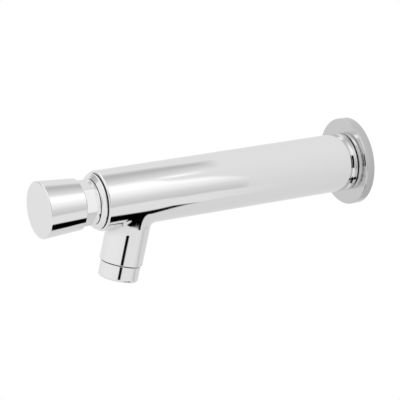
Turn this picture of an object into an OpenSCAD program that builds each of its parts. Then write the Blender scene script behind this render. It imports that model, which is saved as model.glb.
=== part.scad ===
// Wall-mounted push timed tap, in millimetres.
// The wall is the plane y = 0, the barrel's axis is the Y axis and the front faces -Y.
// Turned pieces are drawn as [radius, distance from the wall] and laid along -Y by lathe().
// Spout pieces are drawn as [radius, distance from the barrel's axis] and laid down by spouted().

/* [Barrel] */
// Outside diameter of the barrel tube
tube_od = 42; // [41:0.5:44]
// Wall thickness of the barrel tube
tube_wall = 2; // [1.75:0.25:2.25]
// Length of the barrel tube
tube_len = 197.7; // [190:0.1:240]
// Rounding of the barrel's front edge
tube_round = 1.4; // [0.6:0.1:1.6]

/* [Wall end] */
// Diameter of the wall flange
flange_od = 63; // [60:0.2:74]
// Thickness of the wall flange
flange_t = 6.8; // [6:0.1:9]
// Width of the end plug's visible rim
plug_rim_w = 4.9; // [4.5:0.1:8]
// Length of the inlet thread behind the wall plane
inlet_len = 11; // [9:0.5:24]

/* [Spout] */
// Outside diameter of the spout
spout_od = 30.4; // [30:0.1:31.6]
// Distance from the barrel's axis to the spout's end
spout_len = 48.25; // [46:0.25:60]
// Lean of the spout towards the front, in degrees
spout_lean = 13.6; // [0:0.1:15]
// Distance from the barrel's front end back to the spout's axis, at the barrel's axis
spout_setback = 30.2; // [30:0.1:34]
// Width of the brazed blend down the sides of the spout's root
blend_side = 8.6; // [7:0.1:9]
// Mean width of the blend in front of the spout's root and behind it
blend_end = 4.35; // [3:0.05:4.6]
// Diameter of the aerator ring
aerator_od = 28.3; // [27.5:0.1:29.5]
// Visible length of the aerator ring
aerator_len = 11.6; // [11.2:0.1:15]

/* [Collar and button] */
// Width of the seam that the black seal fills
seam_w = 0.7; // [0.5:0.05:1.2]
// Diameter of the collar's neck, over the corners of its flats
neck_d = 31.9; // [30:0.1:34]
// Distance along the axis that the collar takes to narrow from its rim to its neck
flare_len = 3.8; // [3.6:0.1:5]
// Distance from the barrel's front end to the button's back edge
button_gap = 14.7; // [13.5:0.1:16]
// Length of the button, edge to face
button_len = 28.6; // [28:0.1:34]
// Diameter of the button at its face
button_face_d = 40; // [39:0.2:44]
// Wall of the button's skirt at its back edge
skirt_wall = 1.45; // [1.4:0.05:2]
// Rounding of the button's face edge
button_round = 0.9; // [0.5:0.1:3]
// Rise of the button's face at its middle
button_dome = 0.3; // [0.1:0.05:0.8]
// Travel of the button when it is pressed
travel = 6; // [4:0.25:7]

/* [Timing cartridge] */
// Radius of the timing cylinder
cylinder_r = 11; // [10.75:0.05:11.25]
// Radius of the stem where it passes the stem guide
stem_r = 4; // [3.8:0.05:4.2]
// Turns of the return spring
spring_turns = 7.5; // [5:0.5:8.5]
// Wire diameter of the return spring
spring_wire = 1.4; // [1:0.1:1.6]

/* [Fits] */
// Radial clearance of a sliding or turning fit
run_gap = 0.06; // [0.03:0.01:0.09]
// Radial clearance of a fixed fit
fit_gap = 0.08; // [0.04:0.01:0.1]

/* [Hidden] */
// Half-inch pipe thread: outside radius
thread_r = 10.48;
// Inlet water bore
inlet_bore_r = 7.2;
// M24 aerator thread: outside radius
aerator_thread_r = 11.95;

tube_r = tube_od / 2;
bore_r = tube_r - tube_wall;
land_r = bore_r - fit_gap;
flange_r = flange_od / 2;
tube_back = flange_t + plug_rim_w;
// Front end of the barrel: the timing parts are placed from here
front = tube_back + tube_len;
spout_p = front - spout_setback;
spout_r = spout_od / 2;
aerator_r = aerator_od / 2;
aerator_top = spout_len + 0.35;
aerator_end = aerator_top + aerator_len;
neck_r = neck_d / 2;
rim_back = front + seam_w;
button_back = front + button_gap;
button_face = button_back + button_len;
rim_r = tube_r - tube_round;
flare_end = rim_back + flare_len;
neck_end = button_back + 12;
skirt_r = neck_r + 0.5;
button_fr = button_face_d / 2;
button_br = skirt_r + skirt_wall;
skirt_floor = neck_end + travel + 2;
boss_end = neck_end + 2;
slide_r = neck_r + run_gap;
slide_lo = button_back + 7.3;
slide_hi = slide_lo + 4;
// Six spanner flats on the neck: distance from the axis, ends, and turn of a corner between two
flat_r = 0.8725 * neck_r;
flats_lo = flare_end + 1.4;
flats_hi = button_back + 1;
flats_turn = 51.9;

// Stations of the timing cartridge, from the wall
seat_p = front - 59.5;
cart_back = front - 57;
cart_step = front - 48;
spring_lo = front - 47.9;
port_p = front - 43;
piston_lo = front - 25;
piston_hi = front - 17;
cart_lip = front - 12;
clip_p = front - 8.9;
guide_lo = front - 7.5;
cart_front = front - 6;
guide_hi = front + 2.9;
stem_tail = front - 70.5;

stem_rear_r = 3.5;
stem_thread_r = 3;
$fn = 96;

chrome = [0.80, 0.81, 0.83];
brass = [0.78, 0.62, 0.30];
steel = [0.66, 0.67, 0.68];
black = [0.06, 0.06, 0.06];
white = [0.90, 0.90, 0.88];

// Points of a circular arc from angle a0 to a1
function arc(cx, cy, r, a0, a1, n = 6) =
  [for (i = [0:n]) let (a = a0 + (a1 - a0) * i / n) [cx + r * cos(a), cy + r * sin(a)]];

// A turned solid along the barrel's axis from [radius, distance from the wall] points
module lathe(points) {
  rotate([90, 0, 0])
    rotate_extrude()
      polygon(points);
}

// A plain ring along the barrel's axis
module ring(r_in, r_out, p_lo, p_hi) {
  lathe([[r_in, p_lo], [r_out, p_lo], [r_out, p_hi], [r_in, p_hi]]);
}

// A plain round bar along the barrel's axis
module bar(r, p_lo, p_hi, sides = 96) {
  rotate([90, 0, 0])
    translate([0, 0, p_lo])
      cylinder(r = r, h = p_hi - p_lo, $fn = sides);
}

// A round-section seal ring along the barrel's axis
module o_ring(r_mid, r_section, p) {
  rotate([90, 0, 0])
    translate([0, 0, p])
      rotate_extrude()
        translate([r_mid, 0])
          circle(r = r_section, $fn = 32);
}

// Lays a piece drawn along +Z down the spout's axis, with its front to the tap's front
module spouted() {
  translate([0, -spout_p, 0])
    rotate([180 - spout_lean, 0, 0])
      children();
}

// A turned solid along the spout's axis
module spout_lathe(points) {
  spouted()
    rotate_extrude()
      polygon(points);
}

// Disc with a rounded front edge and a hollow back
module wall_flange() {
  edge = 1;
  color(chrome)
    lathe(concat(
      [[thread_r + 0.32, flange_t], [thread_r + 0.32, flange_t - 2.4]],
      [[flange_r - 2.4, flange_t - 2.4], [flange_r - 2.4, 0], [flange_r, 0]],
      arc(flange_r - edge, flange_t - edge, edge, 0, 90)
    ));
}

// Closed-cell foam that fills the flange's hollow back
module flange_gasket() {
  color(black)
    ring(thread_r + 0.6, flange_r - 2.5, 0, flange_t - 2.45);
}

// Rear plug: a barrel-shaped rim to see, a spigot in the tube and a socket for the nipple
module inlet_plug() {
  mid = flange_t + plug_rim_w / 2;
  half = plug_rim_w / 2 - 0.02;
  sag = 0.9;
  bulge = (half * half + sag * sag) / (2 * sag);
  sweep = asin(half / bulge);
  socket_r = thread_r + fit_gap;
  spigot = tube_back + 15;
  groove = tube_back + 6;
  color(chrome)
    lathe(concat(
      [[socket_r, flange_t + 0.02]],
      arc(tube_r - bulge, mid, bulge, -sweep, sweep, 8),
      [[land_r, tube_back - 0.02], [land_r, groove], [land_r - 2.4, groove]],
      [[land_r - 2.4, groove + 3], [land_r, groove + 3], [land_r, spigot - 0.8]],
      [[land_r - 0.8, spigot], [inlet_bore_r, spigot], [inlet_bore_r, tube_back + 7]],
      [[socket_r, tube_back + 7]]
    ));
}

// O-ring between the plug's spigot and the barrel
module plug_seal() {
  color(black)
    o_ring(land_r - 1.16, 1.2, tube_back + 7.5);
}

// Threaded inlet tail, with a runout groove at the wall plane
module inlet_nipple() {
  color(brass)
    lathe([
      [inlet_bore_r, -inlet_len], [thread_r - 0.9, -inlet_len], [thread_r, -inlet_len + 0.9],
      [thread_r, -1.6], [thread_r - 1.2, -1.4], [thread_r - 1.2, 0.2], [thread_r, 0.4],
      [thread_r, tube_back + 6.9], [inlet_bore_r, tube_back + 6.9]
    ]);
}

// Pierced filter disc in a ring at the inlet's mouth
module inlet_strainer() {
  strainer_r = inlet_bore_r - fit_gap;
  back = -inlet_len + 1;
  color(steel)
    difference() {
      union() {
        ring(strainer_r - 1, strainer_r, back, back + 4);
        bar(strainer_r - 0.5, back + 1, back + 1.8);
      }
      for (turn = [0:60:300])
        rotate([0, turn, 0]) {
          translate([2.2, 0, 0]) bar(0.75, back, back + 4, 24);
          translate([4.4, 0, 0]) bar(0.75, back, back + 4, 24);
          rotate([0, 30, 0]) translate([3.9, 0, 0]) bar(0.75, back, back + 4, 24);
        }
      bar(0.75, back, back + 4, 24);
    }
}

// Plain tube with the hole that takes the spout's spigot
module body_tube() {
  color(chrome)
    difference() {
      lathe([
        [bore_r, tube_back], [tube_r - 0.4, tube_back], [tube_r, tube_back + 0.4],
        each arc(rim_r, front - tube_round, tube_round, 0, 90), [bore_r, front]
      ]);
      spouted() cylinder(r = spout_r - 2.15, h = tube_r + 10);
    }
}

// Leaning spout: saddle end on the barrel, spigot in its hole, thread for the aerator
module spout() {
  color(chrome)
    difference() {
      union() {
        difference() {
          spout_lathe([
            [0, 0], [spout_r, 0], [spout_r, spout_len - 0.5], [spout_r - 0.5, spout_len], [0, spout_len]
          ]);
          bar(tube_r + 0.03, 0, front + 20);
        }
        difference() {
          spouted() cylinder(r = spout_r - 2.25, h = tube_r + 6);
          bar(bore_r + 0.1, 0, front + 20);
        }
      }
      spouted() cylinder(r = 10.4, h = spout_len + 1);
      spouted() translate([0, 0, spout_len - 9.8]) cylinder(r = aerator_thread_r + fit_gap, h = 20);
    }
}

// Points of the blend, for the turn angle a about the spout's axis: a ball rolls between the two
// tubes, as large as the blend is wide there, and its arc is closed by a corner just clear of both
blend_steps = 8;
blend_count = 90;
function spout_at(t, r, a) = [
  r * cos(a),
  -spout_p - t * sin(spout_lean) - r * sin(a) * cos(spout_lean),
  -t * cos(spout_lean) + r * sin(a) * sin(spout_lean)
];
function drop_to(r_tube, r, a) =
  (sqrt(pow(r_tube, 2) - pow(r * cos(a), 2)) + r * sin(a) * sin(spout_lean)) / cos(spout_lean);
function blend_drop(a) =
  drop_to(tube_r, spout_r, a)
  + blend_side * pow(cos(a), 2) + (blend_end + sin(a)) * pow(sin(a), 2);
function ball_r(a) =
  let (
    t = blend_drop(a),
    d = tube_r - spout_r,
    half = t * sin(spout_lean) * cos(spout_lean) * sin(a) + d,
    drop = pow(t * cos(spout_lean), 2) - d * d
  )
    drop / (half + sqrt(half * half + drop * pow(sin(a) * cos(spout_lean), 2))) - spout_r;
function ball_at(a) = spout_at(blend_drop(a), spout_r + ball_r(a), a);
function to_tube(c) = -[c[0], 0, c[2]] / norm([c[0], 0, c[2]]);
function to_spout(a) = -[cos(a), -sin(a) * cos(spout_lean), sin(a) * sin(spout_lean)];
function blend_section(a) =
  let (c = ball_at(a), u = to_tube(c), v = to_spout(a), w = acos(u * v), r = ball_r(a) - 0.03)
    concat(
      [for (i = [0:blend_steps])
        let (k = i / blend_steps)
          c + r * (u * sin(w * (1 - k)) + v * sin(w * k)) / sin(w)],
      [spout_at(drop_to(tube_r + 0.12, spout_r + 0.06, a), spout_r + 0.06, a)]
    );

// Brazed and polished blend around the spout's root
module spout_blend() {
  m = blend_steps + 2;
  pts = [for (i = [0:blend_count - 1]) each blend_section(360 * i / blend_count)];
  faces = [
    for (i = [0:blend_count - 1])
      for (j = [0:m - 1])
        let (i2 = (i + 1) % blend_count, j2 = (j + 1) % m)
          each [[i * m + j, i2 * m + j, i2 * m + j2], [i * m + j, i2 * m + j2, i * m + j2]]
  ];
  color(chrome)
    polyhedron(points = pts, faces = faces);
}

// Flat seal above the aerator
module aerator_washer() {
  color(black)
    spout_lathe([
      [9, spout_len - 9.75], [11.7, spout_len - 9.75], [11.7, spout_len - 8.5], [9, spout_len - 8.5]
    ]);
}

// Pierced disc that limits the flow
module flow_regulator() {
  color(white)
    difference() {
      spout_lathe([
        [0, spout_len - 8], [10.3, spout_len - 8], [10.3, spout_len - 4.5], [0, spout_len - 4.5]
      ]);
      for (turn = [0:36:324])
        spouted()
          rotate([0, 0, turn])
            translate([7, 0, spout_len - 9]) cylinder(r = 1.1, h = 6, $fn = 24);
    }
}

// Jet former with a honeycomb face
module aerator_insert() {
  pitch = 2.6;
  cell = 1.25;
  face_hi = aerator_end - 2.2;
  color(white)
    difference() {
      spout_lathe([
        [0, spout_len - 4.4], [10.4, spout_len - 4.4], [10.4, face_hi], [0, face_hi]
      ]);
      spouted() translate([0, 0, spout_len - 5]) cylinder(r = 9.2, h = 8);
      spouted()
        translate([0, 0, spout_len + 2])
          linear_extrude(height = aerator_len + 2)
            for (i = [-3:3])
              for (j = [-3:3])
                if (abs(i + j) < 4)
                  translate([pitch * (i + j / 2), pitch * j * sin(60)])
                    rotate(30) circle(r = cell, $fn = 6);
    }
}

// Chromed ring at the spout's mouth, with a thread above and a lip below
module aerator_housing() {
  round_r = 2;
  color(chrome)
    spout_lathe(concat(
      [[10.5, spout_len - 8.4], [aerator_thread_r - 0.6, spout_len - 8.4]],
      [[aerator_thread_r, spout_len - 7.8], [aerator_thread_r, aerator_top]],
      [[aerator_r - 0.3, aerator_top], [aerator_r, aerator_top + 0.3]],
      arc(aerator_r - round_r, aerator_end - round_r, round_r, 0, 90),
      [[9.7, aerator_end], [9.7, aerator_end - 2.1], [10.5, aerator_end - 2.1]]
    ));
}

// Steel seat with a raised lip that the valve washer closes on
module valve_seat() {
  color(steel)
    lathe([
      [5.5, seat_p], [6.6, seat_p], [7.2, seat_p + 1.4], [9.4, seat_p + 1.4],
      [9.4, seat_p + 5.5], [5.5, seat_p + 5.5]
    ]);
}

// Flat seal between the seat and the cartridge
module seat_seal() {
  color(black)
    ring(5.8, 9.4, seat_p + 5.55, seat_p + 6.5);
}

// Timing cylinder: sealed in the barrel at both ends, ports to the spout between
module cartridge_housing() {
  mid_r = cylinder_r + 3;
  seat_floor = seat_p + 6.55;
  groove_a = cart_back + 3;
  groove_b = cart_lip + 2;
  color(brass)
    difference() {
      lathe([
        [9.48, cart_back], [land_r - 0.6, cart_back], [land_r, cart_back + 0.6],
        [land_r, groove_a], [land_r - 2.4, groove_a], [land_r - 2.4, groove_a + 3],
        [land_r, groove_a + 3], [land_r, cart_step], [mid_r, cart_step],
        [mid_r, cart_lip], [land_r, cart_lip], [land_r, groove_b],
        [land_r - 2.4, groove_b], [land_r - 2.4, groove_b + 3], [land_r, groove_b + 3],
        [land_r, cart_front], [cylinder_r, cart_front], [cylinder_r, cart_step],
        [5.5, cart_step], [5.5, seat_floor], [9.48, seat_floor]
      ]);
      for (turn = [45:90:315])
        rotate([0, turn, 0])
          translate([0, -port_p, 0]) cylinder(r = 2.6, h = 20, $fn = 48);
    }
}

// Two equal O-rings on the cartridge
module cartridge_seals() {
  color(black) {
    o_ring(land_r - 1.16, 1.2, cart_back + 4.5);
    o_ring(land_r - 1.16, 1.2, cart_lip + 3.5);
  }
}

// Bush that guides the stem and holds its seal
module stem_guide() {
  r_out = cylinder_r - fit_gap;
  r_in = stem_r + run_gap;
  color(white)
    lathe([
      [r_in, guide_lo], [r_out, guide_lo], [r_out, guide_hi], [r_in, guide_hi],
      [r_in, front + 0.6], [stem_r + 2.4, front + 0.6], [stem_r + 2.4, front - 2.2], [r_in, front - 2.2]
    ]);
}

// O-ring that wipes the stem
module stem_seal() {
  color(black)
    o_ring(stem_r + 1.2, 1.14, front - 0.8);
}

// Flared collar: spigot in the barrel, rim at the seam, and a neck that the button slides on.
// A fine groove parts the flare from the neck, which has six flats for a spanner.
module collar() {
  rim_w = 0.4;
  bend = 0.9;
  rim_c = [rim_r - bend, rim_back + rim_w];
  root_c = [neck_r + bend, flare_end];
  gap = root_c - rim_c;
  lean = atan2(gap[1], gap[0]) - acos(2 * bend / norm(gap));
  foot = root_c - bend * [cos(lean), sin(lean)];
  color(chrome)
    difference() {
      lathe(concat(
        [[cylinder_r, cart_front + 0.1], [land_r - 0.5, cart_front + 0.1]],
        [[land_r, cart_front + 0.6], [land_r, rim_back], [rim_r - 0.2, rim_back]],
        [[rim_r, rim_back + 0.2]],
        arc(rim_c[0], rim_c[1], bend, 0, lean),
        [foot, [neck_r - 0.65, foot[1]], [neck_r - 0.65, foot[1] + 0.4]],
        [[neck_r, foot[1] + 0.4], [neck_r, neck_end - 0.8], [neck_r - 0.8, neck_end]],
        [[cylinder_r - 1, neck_end], [cylinder_r - 1, front + 3], [cylinder_r, front + 3]]
      ));
      difference() {
        bar(neck_r + 2, flats_lo, flats_hi);
        rotate([0, -flats_turn, 0])
          bar(flat_r / cos(30), flats_lo - 1, flats_hi + 1, 6);
      }
    }
}

// Black seal that shows as the dark seam
module collar_seal() {
  color(black)
    ring(land_r + 0.1, rim_r - 0.1, front + 0.03, rim_back - 0.03);
}

// Hollow button: tapered skirt, domed face and a threaded boss
module push_button() {
  taper = atan((button_fr - button_br) / button_len);
  pc = button_face - button_round;
  rc = button_br + ((pc - button_back) * sin(taper) - button_round) / cos(taper);
  dome_r = (rc * rc + button_dome * button_dome) / (2 * button_dome);
  dome_a = asin(rc / dome_r);
  tail = button_br + 1.1 * tan(taper);
  color(chrome)
    lathe(concat(
      [[skirt_r + 0.5, button_back], [button_br - 0.85, button_back]],
      arc(tail - 1.1, button_back + 1.1, 1.1, -60, -taper, 4),
      arc(rc, pc, button_round, -taper, 90, 8),
      [for (i = [5:-1:0])
        let (a = dome_a * i / 6)
          [dome_r * sin(a), button_face + button_dome - dome_r * (1 - cos(a))]],
      [[0, boss_end + 9], [stem_r + fit_gap, boss_end + 9], [stem_r + fit_gap, boss_end]],
      [[7, boss_end], [7, button_face - 4.2], [13.2, button_face - 4.2], [13.2, skirt_floor]],
      [[skirt_r, skirt_floor], [skirt_r, slide_hi], [slide_r + 1.02, slide_hi]],
      [[slide_r + 1.02, slide_lo], [skirt_r, slide_lo], [skirt_r, button_back + 0.6]]
    ));
}

// Nut that locks the button on the stem
module button_locknut() {
  color(steel)
    difference() {
      bar(7.5, boss_end - 4.1, boss_end - 0.05, 6);
      bar(stem_r + fit_gap, boss_end - 5, boss_end + 1);
    }
}

// Plastic ring in the skirt that runs on the neck
module button_slide_ring() {
  color(white)
    ring(slide_r, slide_r + 0.96, slide_lo + 0.05, slide_hi - 0.05);
}

// Stem from the button to the valve
module stem() {
  head = boss_end + 8.8;
  color(steel)
    lathe([
      [0, stem_tail], [stem_thread_r - 0.5, stem_tail], [stem_thread_r, stem_tail + 0.5],
      [stem_thread_r, seat_p - 0.02], [stem_rear_r, seat_p - 0.02], [stem_rear_r, piston_hi + 0.05],
      [6, piston_hi + 0.05], [6, piston_hi + 2], [stem_r, piston_hi + 2], [stem_r, clip_p],
      [stem_r - 0.7, clip_p], [stem_r - 0.7, clip_p + 1.1], [stem_r, clip_p + 1.1],
      [stem_r, head - 0.6], [stem_r - 0.6, head], [0, head]
    ]);
}

// Open clip in the stem's groove, behind the guide
module stop_clip() {
  color(steel)
    difference() {
      ring(stem_r - 0.65, stem_r + 2.4, clip_p + 0.05, clip_p + 1.05);
      translate([-1.6, -clip_p - 2, 0]) cube([3.2, 3, 10]);
    }
}

// Timing piston with a groove for its cup seal and a bleed hole
module piston() {
  r = cylinder_r - run_gap;
  color(white)
    difference() {
      lathe([
        [stem_rear_r + fit_gap, piston_lo], [r, piston_lo], [r, piston_lo + 2], [r - 2.6, piston_lo + 2],
        [r - 2.6, piston_lo + 5.5], [r, piston_lo + 5.5], [r, piston_hi], [stem_rear_r + fit_gap, piston_hi]
      ]);
      translate([6.4, 0, 0]) bar(1.1, piston_lo - 1, piston_hi + 1, 32);
    }
}

// Lip seal that lets water past one way
module piston_cup_seal() {
  r = cylinder_r - run_gap;
  lo = piston_lo + 2.05;
  hi = piston_lo + 5.45;
  color(black)
    lathe([
      [r - 2.55, lo], [r - 0.3, lo], [r, hi - 0.4], [r - 0.5, hi], [r - 1.1, lo + 1.5],
      [r - 1.6, lo + 1.5], [r - 1.9, hi], [r - 2.55, hi]
    ]);
}

// Screw that sets the bleed and so the time that the water runs
module timing_screw() {
  color(brass)
    difference() {
      translate([6.4, 0, 0]) bar(1.1 - fit_gap, piston_lo + 1, piston_hi - 0.2, 32);
      translate([5, -piston_hi - 0.5, -0.2]) cube([2.8, 1.2, 0.4]);
    }
}

// Return spring: closed end turns and open turns between
spring_steps = 24;
spring_sides = 8;
module return_spring() {
  wire = spring_wire / 2;
  coil = 8.4;
  lo = spring_lo + wire + 0.05;
  hi = piston_lo - wire - 0.05;
  shut = spring_wire * 1.02;
  open_turns = spring_turns - 2;
  open_pitch = (hi - lo - 2 * shut) / open_turns;
  n = spring_turns * spring_steps;
  pts = [
    for (i = [0:n])
      let (
        turn = i / spring_steps,
        p = turn < 1 ? lo + shut * turn
          : turn > spring_turns - 1 ? hi - shut * (spring_turns - turn)
          : lo + shut + open_pitch * (turn - 1)
      )
        for (j = [0:spring_sides - 1])
          let (b = 360 * j / spring_sides, r = coil + wire * cos(b), a = 360 * turn)
            [r * cos(a), -p - wire * sin(b), r * sin(a)]
  ];
  walls = [
    for (i = [0:n - 1])
      for (j = [0:spring_sides - 1])
        let (
          j2 = (j + 1) % spring_sides,
          a = i * spring_sides + j,
          b = i * spring_sides + j2,
          c = a + spring_sides,
          d = b + spring_sides
        )
          each [[a, c, d], [a, d, b]]
  ];
  caps = [
    [for (j = [0:spring_sides - 1]) j],
    [for (j = [spring_sides - 1:-1:0]) n * spring_sides + j]
  ];
  color(steel)
    polyhedron(points = pts, faces = concat(walls, caps));
}

// Cup that carries the valve washer
module valve_carrier() {
  color(brass)
    lathe([
      [stem_thread_r + fit_gap, seat_p - 5.6], [8.6, seat_p - 5.6], [9.6, seat_p - 4.8], [9.6, seat_p - 1.2],
      [8.8, seat_p - 1.2], [8.8, seat_p - 3.1], [stem_thread_r + fit_gap, seat_p - 3.1]
    ]);
}

// Rubber washer that closes on the seat
module valve_washer() {
  color(black)
    ring(stem_thread_r + fit_gap, 8.7, seat_p - 3.05, seat_p - 0.05);
}

// Nut that holds the valve on the stem
module valve_nut() {
  color(steel)
    difference() {
      bar(5.77, seat_p - 10.2, seat_p - 5.65, 6);
      bar(stem_thread_r + fit_gap, seat_p - 11, seat_p - 5);
    }
}

wall_flange();
flange_gasket();
inlet_plug();
plug_seal();
inlet_nipple();
inlet_strainer();
body_tube();
spout();
spout_blend();
aerator_washer();
flow_regulator();
aerator_insert();
aerator_housing();
valve_seat();
seat_seal();
cartridge_housing();
cartridge_seals();
stem_guide();
stem_seal();
collar();
collar_seal();
push_button();
button_locknut();
button_slide_ring();
stem();
stop_clip();
piston();
piston_cup_seal();
timing_screw();
return_spring();
valve_carrier();
valve_washer();
valve_nut();
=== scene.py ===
# %% [markdown]
# # A wall-mounted push timed tap
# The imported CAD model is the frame: it says where each piece is and what moves. This lesson dresses it.
# Chrome shows every flat and every kink, so the pieces that are seen are made again here as smooth skins,
# each in the place of its CAD node. The pieces inside the barrel keep their CAD shape and get a material.

# %% Load the frame
import math
import bpy
import numpy as np
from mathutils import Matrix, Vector


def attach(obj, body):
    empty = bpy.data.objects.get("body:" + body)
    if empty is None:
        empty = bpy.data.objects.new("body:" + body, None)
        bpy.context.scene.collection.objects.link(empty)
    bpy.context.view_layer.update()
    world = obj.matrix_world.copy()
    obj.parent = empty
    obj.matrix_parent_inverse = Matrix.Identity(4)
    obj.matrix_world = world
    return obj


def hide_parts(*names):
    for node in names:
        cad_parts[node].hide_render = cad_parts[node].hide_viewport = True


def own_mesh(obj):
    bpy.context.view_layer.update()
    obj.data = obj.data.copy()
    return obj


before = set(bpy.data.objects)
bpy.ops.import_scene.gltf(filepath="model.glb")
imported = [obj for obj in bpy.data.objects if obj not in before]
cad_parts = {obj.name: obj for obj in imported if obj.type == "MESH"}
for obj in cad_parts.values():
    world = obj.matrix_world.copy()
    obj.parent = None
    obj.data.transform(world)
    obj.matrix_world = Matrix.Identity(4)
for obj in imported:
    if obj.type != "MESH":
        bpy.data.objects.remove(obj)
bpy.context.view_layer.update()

# %% [markdown]
# ## Sizes
# The sizes are the CAD model's, in millimetres. Along the barrel a station is the distance from the wall.
# Along the spout it is the distance from the barrel's axis.

# %% Sizes of the tap
MM = 0.001
tube_r, bore_r, tube_len, tube_round = 21.0, 19.0, 197.7, 1.4
flange_r, flange_t, plug_rim_w = 31.5, 6.8, 4.9
tube_back = flange_t + plug_rim_w
front = tube_back + tube_len
spout_r, spout_len, spout_back, spout_lean = 15.2, 48.25, 30.2, math.radians(13.6)
spout_p = front - spout_back
print(f"barrel from {tube_back:.1f} to {front:.1f} mm, spout at {spout_p:.1f} mm")

# %% [markdown]
# ## Two axes to turn pieces on
# Nearly every piece of a tap is turned on a lathe. A way is an origin with two directions across the axis
# and one along it. The barrel's way points from the wall to the front, the spout's way points down.

# %% The barrel's way and the spout's way
def way(origin, across, along):
    across, along = np.array(across, float), np.array(along, float)
    return np.array(origin, float), across, np.cross(along, across), along


BARREL = way((0, 0, 0), (1, 0, 0), (0, -1, 0))
SPOUT = way((0, -spout_p, 0), (1, 0, 0), (0, -math.sin(spout_lean), -math.cos(spout_lean)))
print("the spout points along", SPOUT[3].round(3))

# %% [markdown]
# ## Camera
# The picture was taken from the front and a little above, with a long lens. Its values were
# fitted to the tap's own edges.

# %% Camera
look_at, distance = Vector((0, -0.110, 0)), 1.5
azimuth, elevation = math.radians(59.68), math.radians(16.30)
focal_px, offset_px, picture_px, sensor_mm = 2116.25, (20.83, 19.08), 400, 36
away = math.cos(elevation)
back = Vector((math.sin(azimuth) * away, -math.cos(azimuth) * away, math.sin(elevation)))
right = (-back).cross(Vector((0, 0, 1))).normalized()
up = right.cross(-back)
aim = -back - right * offset_px[0] / focal_px - up * offset_px[1] / focal_px
lens = bpy.data.cameras.new("camera")
lens.sensor_width, lens.lens = sensor_mm, focal_px * sensor_mm / picture_px
camera = bpy.data.objects.new("camera", lens)
camera.location = look_at + back * distance
camera.rotation_euler = aim.to_track_quat("-Z", "Y").to_euler()
bpy.context.scene.collection.objects.link(camera)
bpy.context.scene.camera = camera
print("camera at", [round(c, 3) for c in camera.location], "lens", round(lens.lens, 1))

# %% [markdown]
# ## Colours and nodes
# Colours are written as they look on a screen and turned to the linear values that light adds up in. One
# function adds any node with its settings, values and links.

# %% Helpers for materials
def linear(hex_colour):
    parts = [int(hex_colour[n:n + 2], 16) / 255 for n in (1, 3, 5)]
    return tuple(c / 12.92 if c <= 0.04045 else ((c + 0.055) / 1.055) ** 2.4 for c in parts) + (1.0,)


def add(tree, kind, inputs=None, **settings):
    made = tree.nodes.new(kind)
    for key, value in settings.items():
        setattr(made, key, value)
    for socket, value in (inputs or {}).items():
        if isinstance(value, bpy.types.NodeSocket):
            tree.links.new(value, made.inputs[socket])
        else:
            made.inputs[socket].default_value = value
    return made


def material(name):
    made = bpy.data.materials.new(name)
    made.use_nodes = True
    shader = made.node_tree.nodes["Principled BSDF"]
    return made, made.node_tree, shader


print("a middle grey on the screen is", round(linear("#808080")[0], 3), "in linear light")

# %% [markdown]
# ## Chrome plate
# Bright chrome over polished brass. It has no pattern: its marks are the faint waves that hand polishing
# leaves in the brass, about two centimetres long, and a slight change of gloss from place to place. The wall
# flange gets a greyer, duller copy of the chrome. This is painted shade: it darkens the flange to the grey of
# the darker surroundings that its face mirrors.

# %% Polished chrome
smear_size, wave_size, wave_height = 9 * MM, 22 * MM, 0.012 * MM


def plated(name, hex_colour, gloss_low, gloss_high):
    made, tree, shader = material(name)
    place = add(tree, "ShaderNodeTexCoord").outputs["Object"]
    smears = add(tree, "ShaderNodeTexNoise", {"Vector": place, "Scale": 1 / smear_size, "Detail": 2.0})
    waves = add(tree, "ShaderNodeTexNoise", {"Vector": place, "Scale": 1 / wave_size, "Detail": 0.0})
    gloss = add(tree, "ShaderNodeMapRange",
                {"Value": smears.outputs["Fac"], "To Min": gloss_low, "To Max": gloss_high})
    polish = add(tree, "ShaderNodeBump",
                 {"Height": waves.outputs["Fac"], "Strength": 1.0, "Distance": wave_height})
    tree.links.new(gloss.outputs[0], shader.inputs["Roughness"])
    tree.links.new(polish.outputs[0], shader.inputs["Normal"])
    shader.inputs["Base Color"].default_value = linear(hex_colour)
    shader.inputs["Metallic"].default_value = 1.0
    print(f"{name}: {len(tree.nodes)} nodes")
    return made


chrome = plated("polished_chrome_plate", "#E9E9E9", 0.03, 0.075)
# A greyer copy of the chrome for the wall flange: painted shade, not a different plating.
shaded_chrome = plated("painted_shade_chrome_plate", "#CDCDCD", 0.05, 0.11)

# %% [markdown]
# ## Raw brass and stainless steel
# Both are turned on a lathe and left as they come off the tool. The tool leaves fine rings round the barrel's
# axis, which spread the light along it. Real rings are a tenth of a millimetre apart, too fine to show, so
# they are drawn at half a millimetre. Brass also browns a little where it is touched.

# %% Turned metals
ring_gap, ring_depth, stain_size = 0.5 * MM, 0.02 * MM, 6 * MM
band_at_scale_1 = 0.314


def turned_metal(name, hex_bright, hex_dull, rough, spread=0.06):
    made, tree, shader = material(name)
    place = add(tree, "ShaderNodeTexCoord").outputs["Object"]
    rings = add(tree, "ShaderNodeTexWave",
                {"Vector": place, "Scale": band_at_scale_1 / ring_gap, "Distortion": 0.4},
                wave_type="BANDS", bands_direction="Y").outputs["Fac"]
    stain = add(tree, "ShaderNodeTexNoise", {"Vector": place, "Scale": 1 / stain_size, "Detail": 2.0})
    colour = add(tree, "ShaderNodeMix",
                 {"Factor": stain.outputs["Fac"], "A": linear(hex_bright), "B": linear(hex_dull)},
                 data_type="RGBA")
    gloss = add(tree, "ShaderNodeMapRange",
                {"Value": rings, "To Min": rough - spread, "To Max": rough + spread})
    cut = add(tree, "ShaderNodeBump", {"Height": rings, "Strength": 0.25, "Distance": ring_depth})
    tree.links.new(colour.outputs["Result"], shader.inputs["Base Color"])
    tree.links.new(gloss.outputs[0], shader.inputs["Roughness"])
    tree.links.new(cut.outputs[0], shader.inputs["Normal"])
    shader.inputs["Metallic"].default_value = 1.0
    print(f"{name}: {len(tree.nodes)} nodes")
    return made


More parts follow.
